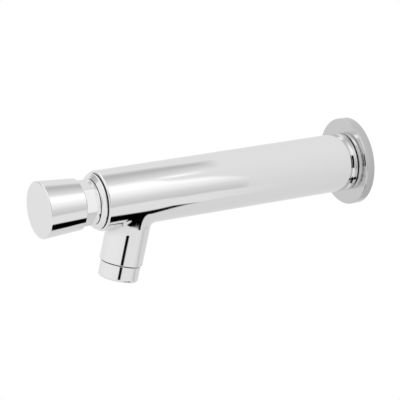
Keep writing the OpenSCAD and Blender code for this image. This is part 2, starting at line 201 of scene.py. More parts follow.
brass = turned_metal("turned_brass", "#D9B765", "#B98F45", 0.28)
steel = turned_metal("turned_stainless_steel", "#C9CACB", "#B3B4B6", 0.30)

# %% [markdown]
# ## Rubber, foam and acetal
# Seals are moulded nitrile rubber: black, dull, with a fine grain. The pad behind the flange is closed-cell
# foam, whose cut face shows small cells. The jet former and the slide ring are moulded acetal, a milky white
# plastic with a soft gloss.

# %% Moulded materials
def moulded(name, hex_light, hex_dark, rough, grain_mm, depth_mm, cells=False, spread=0.08):
    made, tree, shader = material(name)
    place = add(tree, "ShaderNodeTexCoord").outputs["Object"]
    kind, output = ("ShaderNodeTexVoronoi", "Distance") if cells else ("ShaderNodeTexNoise", "Fac")
    grain = add(tree, kind, {"Vector": place, "Scale": 1 / (grain_mm * MM)}).outputs[output]
    colour = add(tree, "ShaderNodeMix", {"Factor": grain, "A": linear(hex_light), "B": linear(hex_dark)},
                 data_type="RGBA")
    gloss = add(tree, "ShaderNodeMapRange",
                {"Value": grain, "To Min": rough - spread, "To Max": rough + spread})
    relief = add(tree, "ShaderNodeBump", {"Height": grain, "Strength": 0.5, "Distance": depth_mm * MM})
    tree.links.new(colour.outputs["Result"], shader.inputs["Base Color"])
    tree.links.new(gloss.outputs[0], shader.inputs["Roughness"])
    tree.links.new(relief.outputs[0], shader.inputs["Normal"])
    print(f"{name}: {len(tree.nodes)} nodes")
    return made


rubber = moulded("nitrile_rubber", "#1C1C1D", "#121213", 0.62, 0.4, 0.02)
foam = moulded("closed_cell_foam", "#2B2C2E", "#17181A", 0.88, 0.9, 0.15, cells=True)
acetal = moulded("moulded_acetal", "#ECEAE4", "#E2E0D8", 0.40, 1.2, 0.01)

# %% [markdown]
# ## Dressing a piece
# A finished piece has a material, the body that it moves with and the CAD nodes that it stands for.


def coat(piece, finish):
    piece.data.materials.clear()
    piece.data.materials.append(finish)


def dress(piece, finish, body, *nodes):
    coat(piece, finish)
    if nodes:
        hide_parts(*nodes)
    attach(piece, body)


# %% [markdown]
# ## Smooth skins
# A mesh is flat between its points, and a mirror finish shows that. Shading normals hide it, if they are
# right. Blender guesses them from the faces, and a long face next to a small rounding then bends the
# reflections along its whole length. Here each patch brings the direction that the true surface faces at
# every point, so a cylinder reflects as a cylinder from end to end.

# %% Join patches of points and facings into one closed mesh
WELD_PER_MM = 10000


def grid_quads(rows, columns):
    index = np.arange(rows * columns).reshape(rows, columns)
    return np.stack([index[:-1, :-1], index[:-1, 1:], index[1:, 1:], index[1:, :-1]], -1).reshape(-1, 4)


def skin(name, patches):
    points, corners, facings = [], [], []
    start = 0
    for spots, facing in patches:
        quads = grid_quads(*spots.shape[:2])
        flat, outward = spots.reshape(-1, 3), facing.reshape(-1, 3)
        across, along = flat[quads[:, 2]] - flat[quads[:, 0]], flat[quads[:, 3]] - flat[quads[:, 1]]
        if (np.cross(across, along) * outward[quads[:, 0]]).sum() < 0:
            quads = quads[:, ::-1]
        points.append(flat)
        facings.append(outward)
        corners.append(quads + start)
        start += len(flat)
    points, facings, corners = np.concatenate(points), np.concatenate(facings), np.concatenate(corners)
    spots = np.round(points * WELD_PER_MM).astype(np.int64)
    welded, where = np.unique(spots, axis=0, return_inverse=True)
    where = where.reshape(-1)
    faces, directions = [], []
    for quad in corners:
        kept = [c for n, c in enumerate(quad) if where[c] != where[quad[n - 1]]]
        if len(kept) > 2:
            faces.append([int(where[c]) for c in kept])
            directions.extend(facings[kept])
    mesh = bpy.data.meshes.new(name)
    mesh.from_pydata((welded * (1 / WELD_PER_MM) * MM).tolist(), [], faces)
    mesh.polygons.foreach_set("use_smooth", [True] * len(faces))
    mesh.normals_split_custom_set([tuple(d) for d in directions])
    piece = bpy.data.objects.new(name, mesh)
    bpy.context.scene.collection.objects.link(piece)
    shared = np.zeros(len(mesh.edges), int)
    np.add.at(shared, [corner.edge_index for corner in mesh.loops], 1)
    print(f"{name}: {len(faces)} faces, {int((shared != 2).sum())} open edges")
    return piece


print("points are welded on a grid of", 1 / WELD_PER_MM, "mm")

# %% [markdown]
# ## Half-sections
# A turned piece is drawn as half of its section: corners, and bends where an edge is rounded, with the metal
# on the left hand as the line is followed. Straight lines join them. A bend that turns left is an outer
# rounding, and one that turns right is a hollow.

# %% Draw a half-section and turn it
def bend(r, p, radius, start, stop, steps=12):
    side = 1 if stop > start else -1
    return [(r + radius * math.cos(a), p + radius * math.sin(a), side * math.cos(a), side * math.sin(a))
            for a in np.radians(np.linspace(start, stop, steps + 1))]


def half_section(*items, closed=True):
    chains = [item if isinstance(item, list) else [item] for item in items]
    runs = []
    for here, after in zip(chains, chains[1:] + (chains[:1] if closed else [None])):
        if len(here) > 1:
            runs.append(here)
        if after:
            (r0, p0), (r1, p1) = here[-1][:2], after[0][:2]
            length = math.hypot(r1 - r0, p1 - p0)
            if length > 1e-6:
                facing = (p1 - p0) / length, (r0 - r1) / length
                runs.append([(r0, p0, *facing), (r1, p1, *facing)])
    return runs


AROUND = 192


def turn(runs, axes=BARREL, around=AROUND, spin=None):
    origin, u, v, w = axes
    spin = np.linspace(0, 2 * math.pi, around + 1) if spin is None else spin
    rim = np.cos(spin)[:, None] * u + np.sin(spin)[:, None] * v
    return [(np.array([origin + r * rim + p * w for r, p, _, _ in run]),
             np.array([a * rim + b * w for _, _, a, b in run])) for run in runs]


print("a turned piece has", AROUND, "points in a ring")

# %% [markdown]
# ## Wall flange
# A turned disc with a hollow back and a small rounded edge. It covers the hole in the wall.

# %% Wall flange
thread_r, inlet_gap, flange_wall, flange_round, back_break = 10.48, 0.32, 2.4, 1, 0.2
hollow_r, hollow_p = flange_r - flange_wall, flange_t - flange_wall
flange = skin("flange_disc", turn(half_section(
    (thread_r + inlet_gap, flange_t), (thread_r + inlet_gap, hollow_p), (hollow_r, hollow_p), (hollow_r, 0),
    (flange_r - back_break, 0), (flange_r, back_break),
    bend(flange_r - flange_round, flange_t - flange_round, flange_round, 0, 90))))
# The flange takes the greyer chrome copy, which paints its shade.
dress(flange, shaded_chrome, "body", "wall_flange")

# %% [markdown]
# ## Thin washers that paint shade
# Three joints of the tap show as fine dark lines, the shade in their narrow gaps. That shade is painted: a
# thin black rubber washer is set into each joint, and its edge makes the line. It keeps a hair's breadth
# clear of the metal on both sides.

# %% A thin washer of painted shade
HAIR = 0.02


# Each ring is painted shade: black rubber put into a joint to darken its gap.
def painted_shade_ring(name, r_in, r_out, p_lo, p_hi, axes=BARREL):
    lo, hi = p_lo + HAIR, p_hi - HAIR
    ring = skin(name, turn(half_section((r_in, lo), (r_out, lo), (r_out, hi), (r_in, hi)), axes))
    dress(ring, rubber, "body")


print("washers keep", HAIR, "mm clear of the metal")

# %% [markdown]
# ## Rear plug
# The plug closes the barrel's rear end. Its visible rim is a narrow band with a broad rounded chamfer towards
# the barrel, and its spigot with the seal groove is hidden in the tube. The dark line between plug and flange
# is painted shade: a thin black washer set into the joint.

# %% Rear plug and its shade washer
land_r, socket_r, water_r = bore_r - 0.08, thread_r + 0.08, 7.2
plug_back, plug_step, back_tilt, side_tilt = flange_t + 0.37, 0.9, -53, 6
edge_round, edge_back, side_in = 0.5, plug_back + 0.6, 0.23
chamfer_p, chamfer_r, chamfer_lo, chamfer_hi = tube_back - 2.05, 18.0, 27.5, 34.8
seal_lo, seal_hi, seal_r = tube_back + 6, tube_back + 9, land_r - 2.4
socket_end, spigot_end, spigot_break = tube_back + 7, tube_back + 15, 0.8
edge = bend(tube_r - edge_round - side_in, chamfer_p, edge_round, side_tilt, chamfer_lo, 6)
lean_in = math.radians(chamfer_lo)
chamfer = bend(edge[-1][0] - chamfer_r * math.cos(lean_in), edge[-1][1] - chamfer_r * math.sin(lean_in),
               chamfer_r, chamfer_lo, chamfer_hi)
plug = skin("rear_plug", turn(half_section(
    (socket_r, plug_back), (tube_r - plug_step, plug_back),
    bend(tube_r - edge_round, edge_back, edge_round, back_tilt, side_tilt, 6), edge, chamfer,
    (land_r, tube_back - HAIR), (land_r, seal_lo), (seal_r, seal_lo), (seal_r, seal_hi), (land_r, seal_hi),
    (land_r, spigot_end - spigot_break), (land_r - spigot_break, spigot_end), (water_r, spigot_end),
    (water_r, socket_end), (socket_r, socket_end))))
dress(plug, chrome, "body", "inlet_plug")
# The dark line at the plug's joint is painted shade: a black washer in the gap.
painted_shade_ring("plug_joint_shade_washer", thread_r + 0.1, tube_r - 1, flange_t, plug_back)

# %% [markdown]
# ## Barrel, spout and blend
# On the real tap a tube, a short leaning tube and the braze between them are ground and polished until they
# read as one skin. Joining two cylinders with a boolean leaves ragged triangles along the join, so the join
# is worked out instead, from three rails round the spout's root: where the skin leaves the barrel, the corner
# that it would have without a rounding, and where it lands on the spout. The grinder takes the spout's sides
# down straight from the barrel, so there the corner lies lower than the line where the two tubes meet.

# %% Three rails round the spout's root
blend_lift, lift_power, blend_foot, front_foot, blend_end = 5.7, 5, 1.5, 6, 4.35


def spout_point(t, r, a):
    origin, u, v, w = SPOUT
    return origin + np.reshape(t, (-1, 1)) * w + r * (np.cos(a)[:, None] * u + np.sin(a)[:, None] * v)


def depth_to(r_tube, r, a):
    reach = np.sqrt(r_tube ** 2 - (r * np.cos(a)) ** 2)
    return (reach + r * np.sin(a) * math.sin(spout_lean)) / math.cos(spout_lean)


def rails(a):
    end = (blend_end + np.sin(a)) * np.sin(a)
    depth = depth_to(tube_r, spout_r, a) + blend_lift * np.abs(np.cos(a)) ** lift_power
    corner = spout_point(depth, spout_r, a)
    reach = np.maximum(np.hypot(corner[:, 0], corner[:, 2]), tube_r)
    turns = np.arctan2(corner[:, 2], corner[:, 0]) + np.sign(np.cos(a)) * np.arccos(tube_r / reach)
    leaves = np.stack([tube_r * np.cos(turns), corner[:, 1] - end, tube_r * np.sin(turns)], -1)
    foot = blend_foot * (1 + front_foot * np.maximum(np.sin(a), 0)) * np.cos(a) ** 2
    return leaves, corner, depth + foot + end * np.sin(a)


trial = np.linspace(-math.pi, math.pi, 8 * 360 + 1)
touch = rails(trial)[0]
touch_turn, touch_p = np.arctan2(touch[:, 2], touch[:, 0]), -touch[:, 1]
print(f"the blend meets the barrel from {touch_p.min():.1f} to {touch_p.max():.1f} mm")

# %% [markdown]
# The barrel's grid of quads gets a window under the spout. Each point on the window's frame is joined to the
# blend's edge along a ray from the window's middle, so the quads fan out evenly and share their points.

# %% The window in the barrel's grid
win_lo, win_hi, win_cells = 158.0, front - tube_round, 32
win_from, win_to = math.radians(195), math.radians(345)
step = 2 * math.pi / AROUND
first, last = round(win_from / step), round(win_to / step)
win_turns, win_rows = step * np.arange(first, last + 1), np.linspace(win_lo, win_hi, win_cells + 1)
loop = np.array([(a, win_lo) for a in win_turns] + [(win_turns[-1], p) for p in win_rows[1:]]
                + [(a, win_hi) for a in win_turns[-2::-1]] + [(win_turns[0], p) for p in win_rows[-2::-1]])
middle = (1.5 * math.pi, (touch_p.min() + touch_p.max()) / 2)


def bearing(turns, p):
    return np.arctan2(p - middle[1], tube_r * (turns - middle[0]))


edge_bearing = np.unwrap(bearing(touch_turn % (2 * math.pi), touch_p))
wanted = np.unwrap(bearing(loop[:, 0], loop[:, 1]))
lowest = min(edge_bearing[0], edge_bearing[-1])
wanted = lowest + (wanted - lowest) % (2 * math.pi)
order = np.argsort(edge_bearing)
angles = np.interp(wanted, edge_bearing[order], trial[order])
angles[-1] = angles[0]
print(f"{len(loop) - 1} points round the window")

# %% [markdown]
# With one set of angles for every ring, the outside and the bore are the same kind of patch: on the tube
# from the window to the branch, then down the branch to its end.

# %% Patches on the tube and down the branch
def on_tube(r, turns, p):
    facing = np.stack([np.cos(turns), 0 * turns, np.sin(turns)], -1)
    return r * facing - p[..., None] * np.array((0, 1, 0)), facing


def window(r, edge, steps=8):
    mix = np.linspace(0, 1, steps + 1)[:, None]
    turns, p = np.arctan2(edge[:, 2], edge[:, 0]) % (2 * math.pi), -edge[:, 1]
    return on_tube(r, loop[:, 0] * (1 - mix) + turns * mix, loop[:, 1] * (1 - mix) + p * mix)


def barrel_wall(r):
    rest = step * np.arange(last, first + AROUND + 1) % (2 * math.pi)
    turns, p = np.meshgrid(rest, win_rows)
    return on_tube(r, turns, p)


def inside_out(patch):
    return patch[0], -patch[1]


def branch(r_from, t_from, r_to, t_to):
    out = np.cos(angles)[:, None] * SPOUT[1] + np.sin(angles)[:, None] * SPOUT[2]
    flat = np.ones_like(angles)
    lower, upper = spout_point(t_from * flat, r_from, angles), spout_point(t_to * flat, r_to, angles)
    size = math.hypot(r_to - r_from, np.mean(t_to - t_from))
    facing = (np.mean(t_to - t_from) * out + (r_from - r_to) * SPOUT[3]) / size
    return np.stack([lower, upper]), np.stack([facing, facing])


print("beside the window the wall has", barrel_wall(tube_r)[0].shape[:2], "points")

# %% [markdown]
# The blend runs from rail to rail in a curve that would be a part of a circle on a square corner. Its facings
# come from the curve itself: two small steps, one round the spout and one down it, span the surface there.

# %% The blend's skin and facings
def blend_row(a, share):
    leaves, corner, landing = rails(a)
    lands = spout_point(landing, spout_r, a)
    before, after = corner - leaves, lands - corner
    straight = (before * after).sum(1) / np.linalg.norm(before, axis=1) / np.linalg.norm(after, axis=1)
    pull = np.sqrt((1 + straight) / 2)[:, None]
    shares = (1 - share) ** 2, 2 * share * (1 - share) * pull, share ** 2
    return (shares[0] * leaves + shares[1] * corner + shares[2] * lands) / sum(shares)


blend_rows, nudge = np.linspace(0, 1, 25), 1e-4
blend_skin = np.stack([blend_row(angles, k) for k in blend_rows])
blend_round = np.stack([blend_row(angles + nudge, k) - blend_row(angles - nudge, k) for k in blend_rows])
blend_down = np.stack([blend_row(angles, k + nudge) - blend_row(angles, k - nudge) for k in blend_rows])
blend_facing = np.cross(blend_round, blend_down)
blend_facing /= np.linalg.norm(blend_facing, axis=-1, keepdims=True)
outward = rails(angles)[0] * np.array((1, 0, 1)) / tube_r + spout_point(0, 1, angles) - SPOUT[0]
blend_facing *= np.sign((blend_facing * outward).sum(-1, keepdims=True))
print("the blend has", blend_skin.shape[:2], "points")

# %% [markdown]
# Now the patches come together: the tube behind the window, its rounded front end, the wall with its window,
# the blend, the spout down to its mouth and up again inside, and the bore.

# %% Barrel with its spout
thread_bore, water_bore, thread_end, mouth_break, tube_break = 12.03, 10.4, spout_len - 9.8, 0.5, 0.4
inner_depth = depth_to(bore_r, water_bore, angles)
patches = turn(half_section(
    (bore_r, win_lo), (bore_r, tube_back), (tube_r - tube_break, tube_back), (tube_r, tube_back + tube_break),
    (tube_r, win_lo), closed=False))
patches += turn(half_section(
    bend(tube_r - tube_round, win_hi, tube_round, 0, 90), (bore_r, front), (bore_r, win_hi), closed=False))
patches += [barrel_wall(tube_r), window(tube_r, blend_skin[0]), (blend_skin, blend_facing)]
down_and_up = [
    (spout_r, rails(angles)[2]), (spout_r, spout_len - mouth_break), (spout_r - mouth_break, spout_len),
    (thread_bore, spout_len), (thread_bore, thread_end), (water_bore, thread_end), (water_bore, inner_depth)]
patches += [branch(*here, *after) for here, after in zip(down_and_up, down_and_up[1:])]
inner_edge = spout_point(inner_depth, water_bore, angles)
patches += [inside_out(barrel_wall(bore_r)), inside_out(window(bore_r, inner_edge))]
barrel = skin("barrel_with_spout", patches)
dress(barrel, chrome, "body", "body_tube", "spout", "spout_blend")

# %% [markdown]
# ## Aerator ring
# A turned ring screws into the spout's mouth, and its lower edge is rounded.

# %% Aerator ring
aerator_r, aerator_top, aerator_end = 14.15, spout_len + 0.7, spout_len + 11.95
aerator_bore, screw_r, screw_top, screw_break = 10.5, 11.95, spout_len - 8.4, 0.6
lip_r, lip_p, top_round, end_round = 9.7, aerator_end - 2.1, 0.3, 2
aerator = skin("aerator_ring", turn(half_section(
    (aerator_bore, screw_top), (screw_r - screw_break, screw_top), (screw_r, screw_top + screw_break),
    (screw_r, aerator_top), (aerator_r - top_round, aerator_top),
    bend(aerator_r - top_round, aerator_top + top_round, top_round, -90, 0, 6),
    bend(aerator_r - end_round, aerator_end - end_round, end_round, 0, 90),
    (lip_r, aerator_end), (lip_r, lip_p), (aerator_bore, lip_p)), SPOUT))
dress(aerator, chrome, "body", "aerator_housing")

# %% [markdown]
# ## Collar
# The collar narrows from the barrel's end to the neck that the button slides on. Its flare is a straight
# slope between two equal roundings, one at the rim and one hollow at the neck. A fine groove ends the flare,
# and a thin black rubber ring laid in it paints the groove's shade as a dark line.

# %% The collar's sizes and its slope
rim_r, rim_back, rim_edge, neck_r = tube_r - tube_round, front + 1.0, 0.1, 15.95
flare_end, button_back = front + 4.5, front + 14.7
neck_end, flats_lo, flats_hi = button_back + 12, flare_end + 1.8, button_back + 1
flare_round, groove_w, groove_r = 0.9, 0.5, neck_r - 0.65
rim_c, root_c = (rim_r - flare_round, rim_back + rim_edge), (neck_r + flare_round, flare_end)
gap = (root_c[0] - rim_c[0], root_c[1] - rim_c[1])
slope = math.atan2(gap[1], gap[0]) - math.acos(2 * flare_round / math.hypot(*gap))
foot = (root_c[0] - flare_round * math.cos(slope), root_c[1] - flare_round * math.sin(slope))
groove_end = foot[1] + groove_w
print(f"the flare faces {math.degrees(slope):.1f} degrees forward and ends at {foot[1]:.2f} mm")

# %% [markdown]
# Six flats are milled on the neck for a spanner. A hexagon on a round bar leaves the six corners round, and
# the cutter runs out of the bar at 45 degrees, so each flat ends in a curve.

# %% The turned part of the collar
flat_r, first_flat, flat_points = 0.8725 * neck_r, 21.9, 25
flat_half, flat_mids = math.acos(flat_r / neck_r), np.radians(first_flat + 60 * np.arange(6))
flat_turns = flat_mids[:, None] + np.linspace(-flat_half, flat_half, flat_points)
neck_spin = np.append(flat_turns.reshape(-1), flat_turns[0, 0] + 2 * math.pi)
neck_break, stem_bore, guide_bore, guide_end = 0.8, 10, 11, front + 3
collar_back, collar_break = front - 5.9, 0.5
patches = turn(half_section(
    (neck_r, flats_hi), (neck_r, neck_end - neck_break), (neck_r - neck_break, neck_end),
    (stem_bore, neck_end), (stem_bore, guide_end), (guide_bore, guide_end), (guide_bore, collar_back),
    (land_r - collar_break, collar_back), (land_r, collar_back + collar_break), (land_r, rim_back),
    bend(rim_r - rim_edge, rim_back + rim_edge, rim_edge, -90, 0, 4),
    bend(*rim_c, flare_round, 0, math.degrees(slope)), foot,
    (groove_r, foot[1]), (groove_r, groove_end), (neck_r, groove_end), closed=False), spin=neck_spin)
print(f"each flat takes {math.degrees(2 * flat_half):.1f} degrees of the neck")

# %% [markdown]
# Each flat has its run-out, its face and its front end, and a strip of the round bar lies beside it.

# %% Six flats and the finished collar
def round_bar(turns, r, p):
    rim = np.cos(turns)[:, None] * BARREL[1] + np.sin(turns)[:, None] * BARREL[2]
    return np.reshape(r, (-1, 1)) * rim + np.reshape(p, (-1, 1)) * BARREL[3], rim


def round_facing(turns):
    return np.stack([round_bar(turns, 1, 0)[1]] * 2)


for mid, turns, after in zip(flat_mids, flat_turns, np.roll(flat_turns, -1, axis=0)):
    flat = flat_r / np.cos(turns - mid)
    run_out = flats_lo - (neck_r - flat)
    corner = np.array([turns[-1], after[0]])
    outwards = round_facing(turns)
    flat_facing = np.broadcast_to(round_facing(np.array([mid])), outwards.shape)
    for low, high, facing in (
            ((turns, neck_r, groove_end), (turns, neck_r, run_out), outwards),
            ((turns, neck_r, run_out), (turns, flat, flats_lo), (outwards + BARREL[3]) * math.sqrt(0.5)),
            ((turns, flat, flats_lo), (turns, flat, flats_hi), flat_facing),
            ((turns, flat, flats_hi), (turns, neck_r, flats_hi), np.broadcast_to(-BARREL[3], outwards.shape)),
            ((corner, neck_r, groove_end), (corner, neck_r, flats_lo), round_facing(corner)),
            ((corner, neck_r, flats_lo), (corner, neck_r, flats_hi), round_facing(corner))):
        patches.append((np.stack([round_bar(*low)[0], round_bar(*high)[0]]), facing))
collar = skin("collar_flare", patches)
dress(collar, chrome, "body", "collar")
# The dark line in the flare's groove is painted shade: a black rubber ring laid in it.
painted_shade_ring("neck_groove_shade_ring", neck_r - 0.63, neck_r - 0.2, foot[1], groove_end)

# %% [markdown]
# ## Push button
# A hollow cap, wider at its face than at its back edge, with a tight rounded edge and a face that rises a
# little to its middle.

# %% Push button
button_br, button_fr, button_len, button_round, button_dome = 17.9, 20.0, 28.6, 0.9, 0.3
button_face = button_back + button_len
taper = math.atan((button_fr - button_br) / button_len)
tilt = math.degrees(taper)
edge_p = button_face - button_round
edge_r = button_br + ((edge_p - button_back) * math.sin(taper) - button_round) / math.cos(taper)
dome_r = (edge_r ** 2 + button_dome ** 2) / (2 * button_dome)
dome_a = math.degrees(math.asin(edge_r / dome_r))
tail_round, tail_start = 1.1, -75
tail_r = button_br + tail_round * math.tan(taper) - tail_round
skirt_r, skirt_in, skirt_deep = neck_r + 0.5, 0.5, 0.6
boss_r, boss_end, stem_r, stem_deep = 7, neck_end + 2, 4.08, 9
roof_r, roof_p, roof_step = 13.2, button_face - 4.2, neck_end + 8
slide_lo, slide_w, slide_r = button_back + 7.3, 4, neck_r + 1.08
button = skin("button_cap", turn(half_section(
    (skirt_r + skirt_in, button_back),
    bend(tail_r, button_back + tail_round, tail_round, tail_start, -tilt, 8),
    bend(edge_r, edge_p, button_round, -tilt, 90 - dome_a),
    bend(0, button_face + button_dome - dome_r, dome_r, 90 - dome_a, 90, 24),
    (0, boss_end + stem_deep), (stem_r, boss_end + stem_deep), (stem_r, boss_end), (boss_r, boss_end),
    (boss_r, roof_p), (roof_r, roof_p), (roof_r, roof_step), (skirt_r, roof_step),
    (skirt_r, slide_lo + slide_w), (slide_r, slide_lo + slide_w), (slide_r, slide_lo), (skirt_r, slide_lo),
    (skirt_r, button_back + skirt_deep))))
dress(button, chrome, "press", "push_button")

# %% [markdown]
# ## Seam seal, foam pad and the aerator's shade washer
# The thin dark line between barrel and collar is a rubber ring. Behind the flange a foam pad takes up the
# unevenness of the wall, and its cut edges are a little rounded. The fine dark line above the aerator ring is
# painted shade: a flat black washer, about two thirds of a millimetre thick, is set into the joint to darken
# it.

# %% Seam seal, foam pad and shade washer
seam_in, seam_gap, seam_round = land_r + 0.1, 0.03, 0.15
seam_mid = rim_r - 0.1 - seam_round
seam = skin("seam_seal", turn(half_section(
    (seam_in, front + seam_gap), bend(seam_mid, front + seam_gap + seam_round, seam_round, -90, 0, 5),
    bend(seam_mid, rim_back - seam_gap - seam_round, seam_round, 0, 90, 5), (seam_in, rim_back - seam_gap))))
dress(seam, rubber, "body", "collar_seal")
pad_in, pad_out, pad_t, pad_round = thread_r + 0.6, flange_r - 2.5, flange_t - 2.45, 0.6
pad = skin("foam_pad", turn(half_section(
    bend(pad_in + pad_round, pad_round, pad_round, 180, 270, 6),
    bend(pad_out - pad_round, pad_round, pad_round, 270, 360, 6), (pad_out, pad_t), (pad_in, pad_t))))
dress(pad, foam, "body", "flange_gasket")
# The dark line above the aerator ring is painted shade: a black washer in the joint.
painted_shade_ring("aerator_joint_shade_washer", screw_r + 0.15, aerator_r - 0.15, spout_len, aerator_top, SPOUT)

# %% [markdown]
# ## A tree that winds
# The inlet's thread and the return spring are the same idea: one section swept along a helix. A spring has
# closed turns at its ends and open turns between, and a thread fades out at both ends. Geometry Nodes bend a
# spiral to that rule from named sizes, and the result is kept as a plain mesh.

# %% Start and end of a tree
MATH, COMBINE = "ShaderNodeMath", "ShaderNodeCombineXYZ"


def new_tree(name, sizes):
    tree = bpy.data.node_groups.new(name, "GeometryNodeTree")
    for label, kind in sizes:
        tree.interface.new_socket(label, in_out="INPUT", socket_type="NodeSocket" + kind)
    tree.interface.new_socket("Geometry", in_out="OUTPUT", socket_type="NodeSocketGeometry")
    return tree, add(tree, "NodeGroupInput").outputs


def close_tree(tree, shape, given, smooth):
    shaded = add(tree, "GeometryNodeSetShadeSmooth", {"Geometry": shape, "Shade Smooth": smooth})
    plain = add(tree, "GeometryNodeRealizeInstances", {"Geometry": shaded.outputs[0]})
    finished = add(tree, "GeometryNodeSetMaterial",
                   {"Geometry": plain.outputs[0], "Material": given["Material"]})
    add(tree, "NodeGroupOutput", {"Geometry": finished.outputs[0]})
    print(f"{tree.name} tree: {len(tree.nodes)} nodes")


# %% [markdown]
# The tree counts the turns along a flat spiral. The first and the last turn rise by the end pitch, the turns
# between them by the middle pitch, and the section shrinks to nothing over the turns of the fade.

# %% The winding tree
winding, given = new_tree("winding", [
    ("Coil radius", "Float"), ("Turns", "Float"), ("End pitch", "Float"), ("Middle pitch", "Float"),
    ("Fade turns", "Float"), ("Section", "Vector"), ("Sides", "Int"), ("Low end", "Float"),
    ("Smooth", "Bool"), ("Material", "Material")])
spiral = add(winding, "GeometryNodeCurveSpiral", {
    "Resolution": 48, "Rotations": given["Turns"], "Start Radius": given["Coil radius"],
    "End Radius": given["Coil radius"], "Height": 0.0}).outputs[0]
along = add(winding, "GeometryNodeSplineParameter").outputs["Factor"]
turned_by = add(winding, MATH, {0: along, 1: given["Turns"]}, operation="MULTIPLY").outputs[0]
left = add(winding, MATH, {0: given["Turns"], 1: turned_by}, operation="SUBTRACT").outputs[0]
first_turn = add(winding, MATH, {0: turned_by, 1: 1.0}, operation="MINIMUM").outputs[0]
last_turn = add(winding, MATH, {0: 1.0, 1: left}, operation="SUBTRACT", use_clamp=True).outputs[0]
both = add(winding, MATH, {0: first_turn, 1: last_turn}, operation="ADD").outputs[0]
open_turns = add(winding, MATH, {0: turned_by, 1: both}, operation="SUBTRACT").outputs[0]
end_rise = add(winding, MATH, {0: both, 1: given["End pitch"]}, operation="MULTIPLY").outputs[0]
rise = add(winding, MATH, {0: open_turns, 1: given["Middle pitch"], 2: end_rise},
           operation="MULTIPLY_ADD").outputs[0]
lift = add(winding, COMBINE, {"Z": rise}).outputs[0]
helix = add(winding, "GeometryNodeSetPosition", {"Geometry": spiral, "Offset": lift}).outputs[0]
upright_helix = add(winding, "GeometryNodeSetCurveNormal", {"Curve": helix}, mode="Z_UP").outputs[0]
nearer_end = add(winding, MATH, {0: turned_by, 1: left}, operation="MINIMUM").outputs[0]
fade = add(winding, MATH, {0: nearer_end, 1: given["Fade turns"]}, operation="DIVIDE",
           use_clamp=True).outputs[0]
ring = add(winding, "GeometryNodeCurvePrimitiveCircle", {"Resolution": given["Sides"], "Radius": 1.0})
section = add(winding, "GeometryNodeTransform",
              {"Geometry": ring.outputs["Curve"], "Scale": given["Section"]}).outputs[0]
swept = add(winding, "GeometryNodeCurveToMesh", {
    "Curve": upright_helix, "Profile Curve": section, "Scale": fade, "Fill Caps": True}).outputs[0]
place = add(winding, COMBINE, {"Y": given["Low end"]}).outputs[0]
laid = add(winding, "GeometryNodeTransform", {
    "Geometry": swept, "Translation": place, "Rotation": (math.pi / 2, 0, 0)}).outputs[0]
close_tree(winding, laid, given, given["Smooth"])

# %% [markdown]
# The result of a tree is kept as a plain mesh, and the tree comes off again.

# %% Keep a tree's result as a plain mesh
def plain_mesh(name, tree, sizes):
    host = bpy.data.objects.new(name, bpy.data.meshes.new(name))
    bpy.context.scene.collection.objects.link(host)
    nodes = host.modifiers.new("nodes", "NODES")
    nodes.node_group = tree
    for item in tree.interface.items_tree:
        if item.in_out == "INPUT":
            nodes[item.identifier] = sizes[item.name]
    made = bpy.data.meshes.new_from_object(host.evaluated_get(bpy.context.evaluated_depsgraph_get()))
    host.modifiers.remove(nodes)
    host.data = made
    print(f"{name}: {len(made.polygons)} faces")
    return host


# %% [markdown]
# ## Inlet nipple
# The half-inch pipe thread that goes into the wall has 14 turns to the inch. Its core is turned, and its
# ridge is wound on, with its crest at the thread's outside radius.

# %% Inlet nipple and its thread
inlet_len, nipple_end, nipple_break, inch = 11.0, tube_back + 6.9, 0.5, 25.4
thread_pitch, thread_depth, thread_half, thread_stop = inch / 14, 1.16, 0.88, 1.6
core_r, shoulder_lo, shoulder_hi = thread_r - thread_depth, 0.4, 0.8
nipple = skin("inlet_nipple_core", turn(half_section(
    (water_r, -inlet_len), (core_r - nipple_break, -inlet_len), (core_r, -inlet_len + nipple_break),
    (core_r, shoulder_lo), (thread_r, shoulder_hi), (thread_r, nipple_end), (water_r, nipple_end)),
    around=AROUND // 2))
dress(nipple, brass, "body", "inlet_nipple")
thread = plain_mesh("inlet_nipple_thread", winding, {
    "Coil radius": core_r * MM, "Turns": (inlet_len - thread_stop - 2 * thread_half) / thread_pitch,
    "End pitch": thread_pitch * MM, "Middle pitch": thread_pitch * MM, "Fade turns": 0.35,
    "Section": (thread_depth * MM, thread_half * MM, 1), "Sides": 4,
    "Low end": (inlet_len - thread_half) * MM, "Smooth": False, "Material": brass})
dress(thread, brass, "body", "inlet_nipple")

# %% [markdown]
# ## Return spring
# The spring pushes the piston forward after each press, and shortens with the button. Here it is wound at
# rest, from its seat to the piston, and stays with the body.

# %% Return spring
spring_lo, piston_lo, travel = front - 47.9, front - 25, 6.0
coil_r, wire_r, spring_turns, spring_gap = 8.4, 0.7, 7.5, 0.05
shut = 2 * wire_r * 1.02
spring_span = piston_lo - spring_lo - 2 * (wire_r + spring_gap)
spring = plain_mesh("return_coil", winding, {
    "Coil radius": coil_r * MM, "Turns": spring_turns, "End pitch": shut * MM,
    "Middle pitch": (spring_span - 2 * shut) / (spring_turns - 2) * MM, "Fade turns": 0.001,
    "Section": (wire_r * MM, wire_r * MM, 1), "Sides": 14, "Low end": -(spring_lo + wire_r + spring_gap) * MM,
    "Smooth": True, "Material": steel})
dress(spring, steel, "body", "return_spring")
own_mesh(spring)

# %% [markdown]
# ## Honeycomb in the aerator
# The jet former's face is a honeycomb of thin-walled cells. One cell is a six-sided ring, and a grid of
# points skewed to 60 degrees puts it 37 times, in rows of four to seven.

